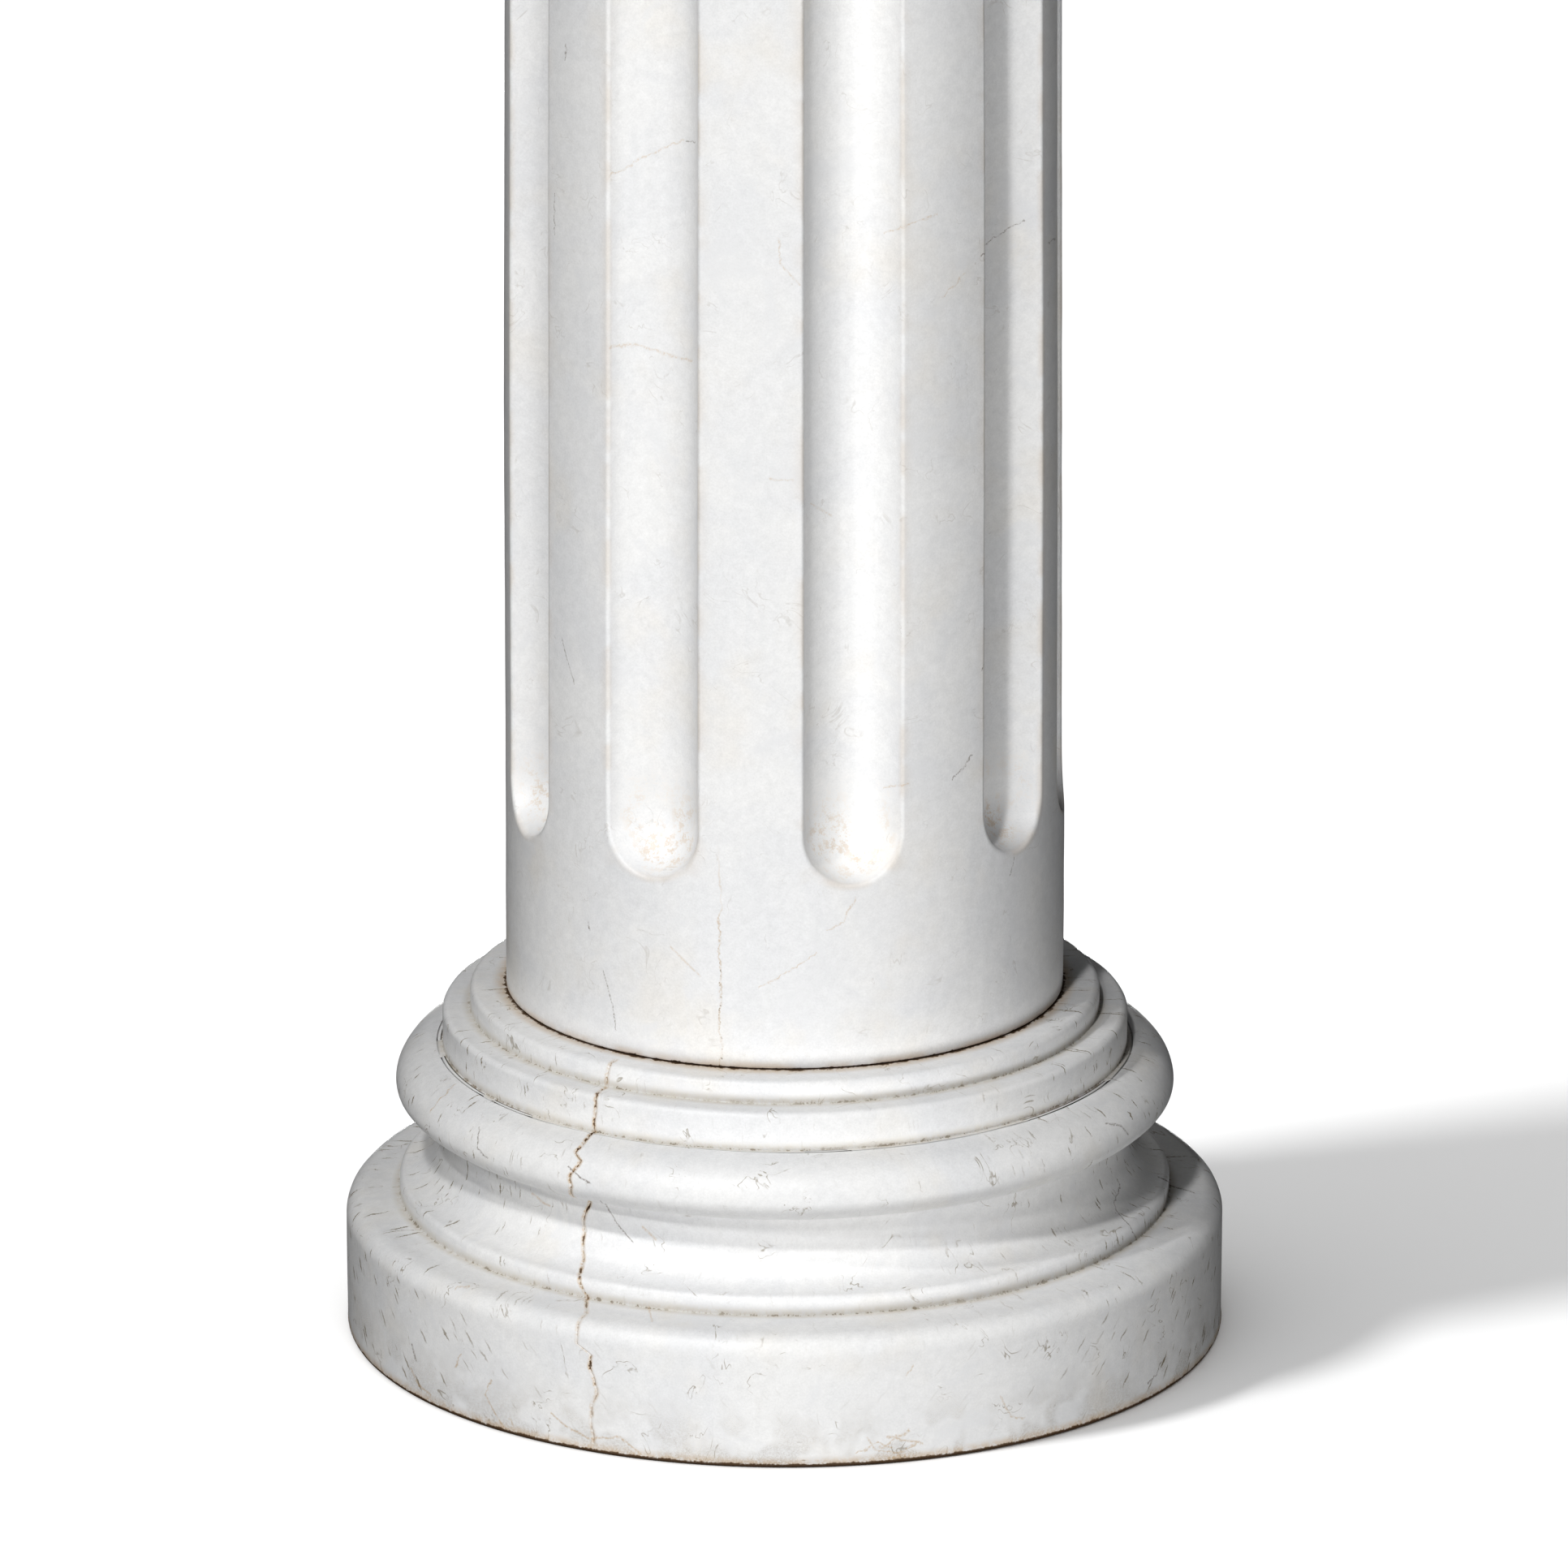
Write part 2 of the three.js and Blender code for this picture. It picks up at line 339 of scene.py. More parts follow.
def flute_point(size, side, drop, reach):
    """A place on the shaft near one flute whose end is cut by a ball, on a shaft as thick as at its foot.

    (side, drop) is a point on the edge of a square round the flute's end, and reach is how far out the
    place lies on the line through it: under 1 in the hollow, 1 at the arris, over 1 on the shaft's face.
    The square is drawn on a circle, so the arris is one line of the grid. In the hollow the place is on the
    ball: its angle from the ball's axis is reach times the angle at which the ball meets the shaft.
    Returns the angle round the column, the radius and the height above the ball's middle.
    """
    radius = size.foot_radius
    half = size.flute_width / 2
    ball = (half ** 2 + size.flute_depth ** 2) / (2 * size.flute_depth)
    away = math.sqrt(radius ** 2 - half ** 2) + ball - size.flute_depth
    across = side * np.sqrt(1 - drop ** 2 / 2)
    down = drop * np.sqrt(1 - side ** 2 / 2)
    gap = away ** 2 + (ball * across) ** 2 - radius ** 2
    meet = np.arccos(gap / (ball * (away + np.sqrt(away ** 2 - (1 - across ** 2) * gap))))
    turn = np.minimum(reach, 1) * meet
    sideways = ball * np.sin(turn) * across
    inwards = away - ball * np.cos(turn)
    angle = np.arctan2(sideways, inwards)
    height = ball * np.sin(turn) * down
    beyond = np.maximum(reach, 1)
    even = smooth_step((reach - 1) / 0.5)
    angle = angle * beyond * (1 - even) + math.asin(half / radius) * side * reach * even
    height = height * beyond * (1 - even) + half * drop * reach * even
    return np.stack((angle, np.hypot(sideways, inwards), height))


def flute_surface(size, across, along):
    """The flute's places with a rounded arris: there a curve of three points leads from hollow to face."""
    half = size.flute_width / 2
    reach = np.maximum(np.abs(across), -along)
    safe = np.maximum(reach, 1e-9)
    side, drop = across / safe, along / safe
    arc = size.flute_arc
    rounding = size.arris
    off = np.where(reach < 1, (reach - 1) * arc, (reach - 1) * half)
    share = np.clip((off + rounding) / (2 * rounding), 0, 1)
    hollow = flute_point(size, side, drop, np.full_like(reach, 1 - rounding / arc))
    arris = flute_point(size, side, drop, np.ones_like(reach))
    face = flute_point(size, side, drop, np.full_like(reach, 1 + rounding / half))
    bent = (1 - share) ** 2 * hollow + 2 * share * (1 - share) * arris + share ** 2 * face
    sharp = flute_point(size, side, drop, reach)
    return np.where(np.abs(off) < rounding, bent, sharp)


def flute_columns(size):
    """Angles of the grid's columns as flute middles and distances from them in half widths of a flute."""
    half_angle = math.asin(size.flute_width / 2 / size.foot_radius)
    front = [math.radians(a) for a in size.front_flutes]
    first = front[-1] + math.radians(RIGHT_FLUTE_TURN)
    step = (2 * math.pi + front[0] - first) / 6
    middles = np.array(front + [first + k * step for k in range(6)])
    gaps = np.diff(np.append(middles, middles[0] + 2 * math.pi)) / 2 / half_angle
    near = np.linspace(0, 1, 5) * size.arris
    inner = 1 - near[::-1] / size.flute_arc
    inside = np.concatenate((np.linspace(0, inner[0], 10)[:-1], inner))
    outer = 1 + near[1:] / (size.flute_width / 2)
    middle, across = [], []
    for k, centre in enumerate(middles):
        left = np.linspace(outer[-1], gaps[k - 1], 5)[1:-1]
        right = np.linspace(outer[-1], gaps[k], 5)[1:]
        one = np.concatenate((-left[::-1], -outer[::-1], -inside[:0:-1], inside, outer, right))
        across.append(one)
        middle.append(np.full(len(one), centre))
    return np.concatenate(middle), np.concatenate(across)


def flute_rows(size):
    """Rows of the grid: how far past a flute's end, the height that is measured from, and which end it is."""
    half = size.flute_width / 2
    lower, upper = SHAFT_FOOT + size.flute_start + half, SHAFT_TOP - size.flute_end - half
    near = np.linspace(0, 1, 5) * size.arris
    end = np.concatenate((-1 - near[::-1] / half, -1 + near[1:] / size.flute_arc, np.linspace(-0.9, 0, 13)))
    rim = np.array([0.0, 0.15, 0.45, 1.0, 1.8]) * size.foot_edge

    def past(room):
        edge = -(room - rim) / half
        wide = np.linspace(edge[-1], -1.45, 13)[1:]
        return np.concatenate((edge, wide, np.linspace(-1.45, end[0], 6)[1:-1], end))

    below = past(lower - SHAFT_FOOT)
    above = past(SHAFT_TOP - upper)[::-1]
    straight = np.linspace(lower, upper, 70)[1:-1]
    along = np.concatenate((below, np.zeros(len(straight)), above))
    start = np.concatenate((np.full(len(below), lower), straight, np.full(len(above), upper)))
    way = np.concatenate((np.ones(len(below) + len(straight)), -np.ones(len(above))))
    return along, start, way


def shaft_grid(size):
    """Flute places all round the column, drawn in by the swelling and rounded at the foot and the top."""
    middle, across = flute_columns(size)
    along, start, way = flute_rows(size)
    across_grid, along_grid = np.meshgrid(across, along)
    angle, radius, rise = flute_surface(size, across_grid, along_grid)
    height = start[:, None] + way[:, None] * rise
    radius = radius * shaft_radius(size, height) / size.foot_radius
    edge = size.foot_edge
    end = np.minimum(np.minimum(height - SHAFT_FOOT, SHAFT_TOP - height), edge)
    radius = radius - (edge - np.sqrt(np.maximum(edge ** 2 - (edge - end) ** 2, 0)))
    grid = turned_grid(radius, middle + angle, height)
    uneven = 0.75 * hand_work(grid, 0.30, 21) + 0.25 * hand_work(grid, 0.05, 22)
    radius = radius + size.unevenness * uneven * smooth_step(end / edge)
    grid = turned_grid(radius, middle + angle, height)
    reach = np.maximum(np.abs(across_grid), -along_grid)
    return grid, {"flute_depth": np.clip(1.15 - reach, 0, 1)}


def capital_rows(size):
    """Rows of the capital: radius of its round part, share of the square slab, inset of its edge, height."""
    low, high = CAPITAL_FOOT, CAPITAL_TOP
    neck = size.neck_radius
    bead = size.astragal
    annulet_foot = low + 2 * bead + size.neck_height
    echinus_foot = annulet_foot + 2 * size.annulet_height
    slab = high - size.abacus_height
    step, tight, round_edge = size.annulet_step, 0.0006, 0.002
    bell = size.abacus_width / 2 - size.echinus_lip
    start = neck + 2 * step
    round_part = filled_outline([
        [(0.08, low), (neck - 0.01, low)],
        ellipse_run((neck, low + bead), (bead, bead), -90, 88, 14),
        inner_corner(neck, low + 2 * bead, tight, 3),
        [(neck, annulet_foot - tight)],
        outer_edge(neck + step, annulet_foot + size.annulet_height - tight, round_edge, 4),
        outer_edge(neck + 2 * step, echinus_foot - tight, round_edge, 4),
        ellipse_run((start, slab), (bell - start, echinus_foot - slab), 88, 2, 18),
        [(bell, slab)],
    ], CAPITAL_SPACING)
    count = len(round_part)
    plain = np.zeros(count)
    edge = size.abacus_edge
    turn = np.radians(np.linspace(-90, 0, 5))
    lift = edge + edge * np.sin(turn)
    inset = edge - edge * np.cos(turn)
    soffit = np.linspace(0.25, 1, 4)
    faces = np.linspace(slab + edge, high - edge, 10)[1:-1]
    top = np.linspace(0.85, 0.25, 5)
    radius = np.concatenate((round_part[:, 0], np.full(3, bell), np.zeros(5 + len(faces) + 5 + 5)))
    share = np.concatenate((plain, soffit[:-1], np.ones(5 + len(faces) + 5), top))
    slab_cut = (np.full(3, edge), inset, np.zeros(len(faces)), inset[::-1], np.full(5, edge))
    cut = np.concatenate((plain, *slab_cut))
    slab_rows = (np.full(3, slab), slab + lift, faces, high - lift[::-1], np.full(5, high))
    height = np.concatenate((round_part[:, 1], *slab_rows))
    return radius, share, cut, height


def square_reach(half, corner, angle):
    """How far the outline of a square with rounded corners lies from its middle in each direction."""
    turn = np.abs((angle + math.pi / 4) % (math.pi / 2) - math.pi / 4)
    flat = half / np.cos(turn)
    middle = half - corner
    toward = middle * (np.cos(turn) + np.sin(turn))
    rounded = toward + np.sqrt(np.maximum(toward ** 2 - 2 * middle ** 2 + corner ** 2, 0))
    return np.where(half * np.tan(turn) <= middle, flat, rounded)


def capital_grid(size):
    """Each row is the round part's circle, or the slab's square, or a mix of the two under the slab."""
    radius, share, cut, height = capital_rows(size)
    near = np.radians([0.12, 0.28, 0.46, 0.7, 1.2, 2.2])
    eighth = np.concatenate((np.linspace(0, math.radians(41.5), 26), math.pi / 4 - near[::-1]))
    quarter = np.concatenate((eighth, [math.pi / 4], math.pi / 2 - eighth[:0:-1]))
    angle = np.concatenate([quarter + k * math.pi / 2 for k in range(4)])
    outer = square_reach(size.abacus_width / 2, size.abacus_edge, angle)
    reach = radius[:, None] * (1 - share[:, None]) + share[:, None] * (outer - cut[:, None])
    grid = turned_grid(reach, angle, height[:, None])
    inside = smooth_step(np.minimum(height - CAPITAL_FOOT, CAPITAL_TOP - height) / 0.006)[:, None]
    reach = reach + size.unevenness * hand_work(grid, 0.14, 31) * inside
    return turned_grid(reach, angle, height[:, None]), {}


# Materials

def colour(value):
    """A colour property as a node's four numbers."""
    return (*value, 1.0)


class Shader:
    """A node tree, with short names for the nodes that the looks are made of."""

    def __init__(self, tree):
        self.tree = tree

    def add(self, kind, inputs=None, **settings):
        """A new node with its settings; each input is a value or the output that feeds it."""
        node = self.tree.nodes.new(kind)
        for name, value in settings.items():
            setattr(node, name, value)
        for name, value in (inputs or {}).items():
            if isinstance(value, bpy.types.NodeSocket):
                self.tree.links.new(value, node.inputs[name])
            else:
                node.inputs[name].default_value = value
        return node

    def math(self, operation, a, b=0.0, c=0.0, clamp=False):
        """One Math node's result."""
        return self.add("ShaderNodeMath", {0: a, 1: b, 2: c}, operation=operation, use_clamp=clamp).outputs[0]

    def scaled(self, value, factor, offset):
        """The value times the factor, plus the offset."""
        return self.math("MULTIPLY_ADD", value, factor, offset)

    def product(self, level, *values):
        """The product of several values."""
        for value in values:
            level = self.math("MULTIPLY", level, value)
        return level

    def vector(self, operation, a, b=(0.0, 0.0, 0.0), scale=1.0):
        """One Vector Math node's result."""
        node = self.add("ShaderNodeVectorMath", {0: a, 1: b, 3: scale}, operation=operation)
        return node.outputs["Value" if operation in ("LENGTH", "DOT_PRODUCT", "DISTANCE") else "Vector"]

    def joined(self, x, y, z=0.0):
        """A place from its coordinates."""
        return self.add("ShaderNodeCombineXYZ", {"X": x, "Y": y, "Z": z}).outputs[0]

    def between(self, value, low, high, to_low=0.0, to_high=1.0):
        """The value's place between low and high as a soft share, spread over to_low and to_high."""
        spans = {"Value": value, "From Min": low, "From Max": high, "To Min": to_low, "To Max": to_high}
        return self.add("ShaderNodeMapRange", spans, interpolation_type="SMOOTHSTEP").outputs["Result"]

    def under(self, value, limit, soft):
        """1 where the value is under the limit by the soft span or more, 0 where it is over the limit."""
        return self.math("MULTIPLY", self.math("SUBTRACT", limit, value), 1 / soft, clamp=True)

    def grain(self, place, scale, detail=2.0, rough=0.5, twist=0.0):
        """A noise value round 0.5."""
        return self.add("ShaderNodeTexNoise", {"Vector": place, "Scale": scale, "Detail": detail,
                        "Roughness": rough, "Distortion": twist}).outputs["Fac"]

    def spots(self, cells, empty, widest, soft):
        """Spots in the cells of a pattern: empty is the share of cells with none, widest their radius."""
        pick = self.add("ShaderNodeSeparateColor", {"Color": cells.outputs["Color"]}).outputs[0]
        reach = self.product(self.math("SUBTRACT", pick, empty, clamp=True), widest / (1 - empty))
        return self.under(cells.outputs["Distance"], reach, soft)


def drawn_mark_group():
    """How dark a drawn mark is: strongest on the line from its start, and gone at its width from that line.

    Run is the line from start to end, and Along is the run divided by its squared length.
    """
    group = bpy.data.node_groups.new("Drawn mark", "ShaderNodeTree")
    inputs = {"Vector": ("Place", "Start", "Run", "Along"), "Float": ("Fall", "Strength", "Other")}
    for kind, names in inputs.items():
        for name in names:
            group.interface.new_socket(name, in_out="INPUT", socket_type=f"NodeSocket{kind}")
    group.interface.new_socket("Level", in_out="OUTPUT", socket_type="NodeSocketFloat")
    get = group.nodes.new("NodeGroupInput").outputs
    mark = Shader(group)
    here = mark.vector("SUBTRACT", get["Place"], get["Start"])
    share = mark.math("ADD", mark.vector("DOT_PRODUCT", here, get["Along"]), clamp=True)
    away = mark.vector("DISTANCE", here, mark.vector("SCALE", get["Run"], scale=share))
    level = mark.math("MAXIMUM", mark.scaled(away, get["Fall"], get["Strength"]), get["Other"])
    mark.add("NodeGroupOutput", {"Level": level})
    return group


class Marble(Shader):
    """A honed white marble: coats of colour are laid over its ground, where noises and places say.

    small, crystal and broad are noises of three sizes, and uneven is a mix of the first two.
    """

    def __init__(self, name, look, marked=1.0):
        self.material = bpy.data.materials.new(name)
        self.material.use_nodes = True
        super().__init__(self.material.node_tree)
        self.tree.nodes.clear()
        self.look = look
        self.place = self.add("ShaderNodeTexCoord").outputs["Object"]
        self.x, self.y, self.height = self.add("ShaderNodeSeparateXYZ", {"Vector": self.place}).outputs
        self.crystal = self.grain(self.place, 650.0, 2.0, 0.6)
        self.small = self.grain(self.place, 150.0, 3.0, 0.6)
        self.broad = self.grain(self.place, 34.0)
        self.uneven = self.math("ADD", self.product(self.small, 0.6), self.product(self.crystal, 0.4))
        self.ground(marked)

    def coat(self, tint_name, *shares):
        """Lays one of the look's colours over the paint so far, by the product of the shares."""
        self.paint = self.mixed(self.product(*shares), self.paint, getattr(self.look, tint_name))

    def mixed(self, share, low, high):
        """A mix of a paint and a colour by a share."""
        return self.add("ShaderNodeMix", {0: share, 6: low, 7: colour(high)}, data_type="RGBA").outputs[2]

    def ground(self, marked):
        """Faint clouds of cool grey and cream, a fine crystal grain, broken hairlines and specks.

        marked is how strong the hairlines and specks are.
        """
        cloud = self.grain(self.place, 8.0, 4.0, 0.65, 0.7)
        self.paint = self.mixed(self.between(cloud, 0.34, 0.62), colour(self.look.cool), self.look.stone)
        cream = self.grain(self.vector("ADD", self.place, (4.1, 1.7, 9.2)), 13.0, 3.0, 0.6)
        self.coat("warm", self.between(cream, 0.5, 0.75, 0.0, 0.8))
        tone = self.scaled(self.crystal, 0.16, self.scaled(self.small, 0.15, 0.845))
        self.paint = self.vector("SCALE", self.paint, scale=tone)

        ridge = self.grain(self.place, 24.0, 3.0, 0.6, 1.2)
        self.coat("cool", self.between(ridge, 0.44, 0.30, 0.0, 0.55))
        contour = self.math("ABSOLUTE", self.math("SUBTRACT", ridge, 0.5))
        patches = self.grain(self.vector("ADD", self.place, (7.0, 3.0, 5.0)), 38.0)
        self.coat("vein", self.between(contour, 0.012, 0.002), self.between(patches, 0.55, 0.64),
                  self.between(self.small, 0.38, 0.55, 0.2, 1.0), self.look.vein_share * marked)
        cells = self.add("ShaderNodeTexVoronoi", {"Vector": self.place, "Scale": 55.0})
        self.coat("vein", self.spots(cells, 0.76, 0.0408, 0.02), 0.5 * marked)

    def front(self):
        """Angle from the front, radius, distance round the column and the coordinate down its front."""
        angle = self.math("ARCTAN2", self.x, self.product(self.y, -1.0))
        radius = self.vector("LENGTH", self.joined(self.x, self.y))
        down = self.math("SUBTRACT", self.height, self.product(radius, FRONT_FALL))
        return angle, radius, self.product(angle, radius), down

    def wavering(self, around, down):
        """The (round, down) place with small sideways shakes, so drawn lines look ragged."""
        shake = self.scaled(self.small, 0.006, -0.003)
        fine = self.scaled(self.crystal, 0.0016, -0.0008)
        x = self.math("ADD", around, self.math("ADD", shake, fine))
        return self.joined(x, self.math("SUBTRACT", down, self.math("SUBTRACT", shake, fine)))

    def strokes(self, flat, turn, cells, empty, width):
        """Short strokes at random: spots in the cells of a stretched and turned pattern.

        cells are the cells for each metre across and along, and width is the widest spot's share of its cell.
        """
        there = self.add("ShaderNodeMapping", {"Vector": flat, "Rotation": (0, 0, math.radians(turn)),
                         "Scale": (1 / cells[0], 1 / cells[1], 1)}, vector_type="TEXTURE").outputs[0]
        pattern = self.add("ShaderNodeTexVoronoi", {"Vector": there, "Scale": 1.0}, voronoi_dimensions="2D")
        return self.spots(pattern, empty, width, width * 0.5)

    def drawn(self, here, marks):
        """All drawn marks of one kind: each is a strength, a width and its (round, down) points, in mm."""
        group = bpy.data.node_groups.get("Drawn mark") or drawn_mark_group()
        level = -1.0
        for strength, width, *points in marks:
            points = [Vector((*point, 0)) * 0.001 for point in points]
            for start, end in zip(points, points[1:]):
                run = end - start
                level = self.add("ShaderNodeGroup", {
                    "Place": here, "Start": start, "Run": run, "Along": run / run.length_squared,
                    "Fall": -strength / (width * 0.001), "Strength": strength, "Other": level,
                }, node_tree=group).outputs["Level"]
        return level

    def drawn_lines(self, around, down, tan, dark, low, high, least):
        """Lays the tan drawn marks and returns how dark the dark ones are; the crystal grain breaks both."""
        here = self.wavering(around, down)
        broken = self.between(self.crystal, low, high, least, 1.0)
        self.coat("stain", self.drawn(here, tan), broken)
        return self.product(self.drawn(here, dark), broken)

    def finish(self, share, *dark):
        """Lays the dark of the cracks, joints and other dark marks given (on the base also its painted
        contact shadow at the foot), and makes the slightly waxy face with its fine relief.
        """
        level = dark[0]
        for other in dark[1:]:
            level = self.math("MAXIMUM", level, other)
        self.coat("crack", level, share)
        relief = self.scaled(self.crystal, 0.08, self.product(self.small, 0.12))
        bump = self.add("ShaderNodeBump", {"Height": relief, "Strength": 0.5, "Distance": 0.001})
        face = self.add("ShaderNodeBsdfPrincipled", {
            "Base Color": self.paint, "Roughness": self.scaled(self.small, 0.2, self.look.roughness - 0.1),
            "Normal": bump.outputs[0], "IOR": 1.48, "Specular IOR Level": 0.3,
        })
        self.add("ShaderNodeOutputMaterial", {"Surface": face.outputs[0]})
        return self.material


# Marks on the base: strength, width and the (round, down) points in mm.
BASE_DARK = [
    (0.9, 1.1, (-160, 98), (-150, 92), (-143, 90)),
    (0.85, 0.9, (-249, 106), (-248, 91), (-237, 88)),
    (0.7, 0.8, (-134, 77), (-123, 61), (-110, 49)),
    (0.75, 0.9, (317, 39), (299, 33), (296, 28), (305, 12), (312, 5)),
    (0.8, 0.9, (398, 20), (448, -4)),
    (0.8, 1.6, (-313, -70), (-308, -80)),
    (0.75, 1.0, (318, -84), (312, -92), (302, -96)),
    (0.6, 0.8, (268, 104), (287, 97), (296, 88)),
]
BASE_TAN = [
    (0.75, 1.0, (-316, 98), (-306, 112), (-297, 121)),
    (0.7, 1.0, (-225, -72), (-231, -84), (-222, -96), (-214, -104)),
    (0.65, 1.2, (-255, -60), (-262, -72)),
    (0.6, 1.0, (58, -88), (64, -98), (80, -101), (96, -95)),
    (0.6, 1.0, (50, -99), (66, -92), (76, -97)),
    (0.55, 1.1, (158, -70), (166, -86), (178, -90)),
    (0.5, 1.6, (-199, 66), (-182, 62)),
    (0.5, 1.4, (-103, 62), (-93, 54)),
    (0.6, 1.5, (-315, -88), (-306, -97), (-290, -100)),
    (0.55, 1.3, (-207, -98), (-205, -104)),
    (0.65, 1.2, (-171, -86), (-161, -92), (-142, -98), (-118, -94), (-103, -104)),
    (0.65, 1.3, (67, -96), (88, -85)),
    (0.65, 1.3, (72, -88), (98, -96)),
    (0.7, 2.2, (74, -105), (84, -103)),
    (0.5, 1.2, (86, -44), (91, -37)),
    (0.5, 1.2, (-97, 4), (-95, -4)),
    (0.5, 1.2, (-262, -14), (-249, -8)),
]
# Marks on the shaft.
SHAFT_DARK = [
    (0.8, 0.9, (-172, 908), (-173, 897)),
    (0.8, 0.8, (150, 762), (176, 770)),
    (0.6, 0.7, (176, 770), (207, 776)),
    (0.6, 0.7, (152, 691), (160, 694)),
    (0.75, 0.8, (152, 462), (165, 489)),
    (0.8, 0.9, (126, 387), (143, 402)),
    (0.8, 1.0, (-153, 277), (-151, 271)),
    (0.7, 0.8, (-139, 244), (-130, 219), (-127, 201)),
    (0.6, 0.8, (-70, 857), (-63, 856)),
    (0.6, 0.7, (184, 303), (189, 316)),
    (0.7, 0.8, (-186, 800), (-186, 770)),
    (0.7, 0.8, (236, 752), (252, 752)),
    (0.6, 0.7, (-180, 480), (-165, 448)),
]
SHAFT_TAN = [
    (0.5, 1.0, (50, 311), (42, 293), (30, 288)),
    (0.5, 1.0, (22, 272), (-1, 256), (-17, 246)),
    (0.4, 1.2, (-130, 822), (-97, 845), (-72, 857)),
    (0.45, 1.2, (71, 790), (111, 798)),
    (0.5, 1.1, (71, 390), (90, 390)),
    (0.4, 1.6, (-131, 700), (-110, 706), (-66, 700)),
    (0.4, 1.1, (-4, 788), (-3, 771), (10, 756)),
    (0.4, 1.2, (-82, 271), (-60, 252)),
    (0.4, 1.0, (116, 738), (135, 752)),
    (0.35, 1.2, (-10, 617), (6, 616)),
    (0.35, 1.2, (18, 600), (32, 592)),
]


def base_marble(look):
    """Marble of the base: strokes on its sides, soil and dust with painted shade in the corners, a stain and
    a painted contact shadow along the foot, the crack and the joint's line.
    """
    m = Marble("base_marble_look", look)
    angle, radius, around, down = m.front()
    turned = m.math("ABSOLUTE", angle)
    flat = m.wavering(m.product(angle, MEAN_RADIUS), down)
    level_part = m.add("ShaderNodeSeparateXYZ", {"Vector": flat}).outputs[1]
    upright = m.strokes(flat, 6.0, (260.0, 42.0), 0.58, 0.24)
    leaning = m.strokes(m.joined(m.product(turned, MEAN_RADIUS), level_part), -38.0, (250.0, 36.0), 0.5, 0.28)
    on_plinth = m.between(m.height, 0.09, 0.08)
    stroke = m.add("ShaderNodeMix", {0: on_plinth, 2: upright, 3: leaning}).outputs[0]
    m.coat("vein", stroke, m.between(turned, 0.35, 1.2, 0.08, 1.0), m.between(m.broad, 0.34, 0.52, 0.15, 1.0))

    # The noises scramble the cells of the net, so its lines near the foot are short and crooked.
    moved = m.vector("ADD", m.place, m.joined(flat, m.small, m.crystal))
    edges = m.add("ShaderNodeTexVoronoi", {"Vector": moved, "Scale": 75.0}, feature="DISTANCE_TO_EDGE")
    m.coat("vein", m.between(edges.outputs["Distance"], 0.11, 0.0), m.between(m.height, 0.06, 0.004),
           m.between(m.broad, 0.44, 0.56), m.between(m.crystal, 0.38, 0.55, 0.3, 1.0), 0.8)

    near, beside, strong = (m.add("ShaderNodeAttribute", attribute_name=name).outputs["Fac"]
                            for name in ("from_corner", "from_crack", "crack_strength"))
    # Warm grey within about 7.5 mm of the hollow corners: partly dust, partly painted shade where the corners
    # lie in shade.
    m.coat("dust_and_shade", m.between(near, 0.0075, 0.0005), m.between(m.uneven, 0.3, 0.62, 0.15, 0.6))
    m.coat("soil", m.under(near, m.scaled(m.uneven, 0.014, -0.0068), 0.0008),
           m.between(m.broad, 0.3, 0.6, 0.2, 0.6))

    m.coat("stain", m.between(m.height, 0.010, 0.002), m.between(m.uneven, 0.36, 0.58, 0.15, 0.7))
    # Painted contact shadow: the lowest few millimetres of the plinth, darkened in the crack colour, stand in
    # for the shadow under the base.
    foot = m.under(m.height, m.scaled(m.uneven, 0.005, 0.001), 0.0008)

    from_joint = m.math("SUBTRACT", radius, SHAFT_BOX[1][0])
    on_top = m.math("GREATER_THAN", m.height, BASE_TOP - 0.001)
    m.coat("stain", m.between(from_joint, 0.012, 0.001), on_top, m.between(m.uneven, 0.3, 0.6, 0.2, 0.6))
    joint = m.product(m.under(from_joint, m.scaled(m.uneven, 0.014, -0.0052), 0.0009), on_top)

    off = m.math("ABSOLUTE", m.math("ADD", beside, m.scaled(m.crystal, 0.0014, -0.0007)))
    spots = m.between(m.small, 0.5, 0.66)
    wide = m.product(m.scaled(spots, 0.0013, 0.0001), strong)
    crack = m.product(m.under(off, m.math("ADD", wide, 0.0002), 0.0003), strong,
                      m.between(m.uneven, 0.42, 0.54, 0.3, 1.0))
    m.coat("stain", m.between(off, 0.003, 0.0002), m.math("POWER", strong, 0.7),
           m.between(m.uneven, 0.40, 0.58, 0.18, 0.9))

    dark = m.drawn_lines(around, down, BASE_TAN, BASE_DARK, 0.4, 0.58, 0.35)
    # foot is the painted contact shadow along the plinth's lowest edge.
    return m.finish(0.92, dark, crack, joint, foot)


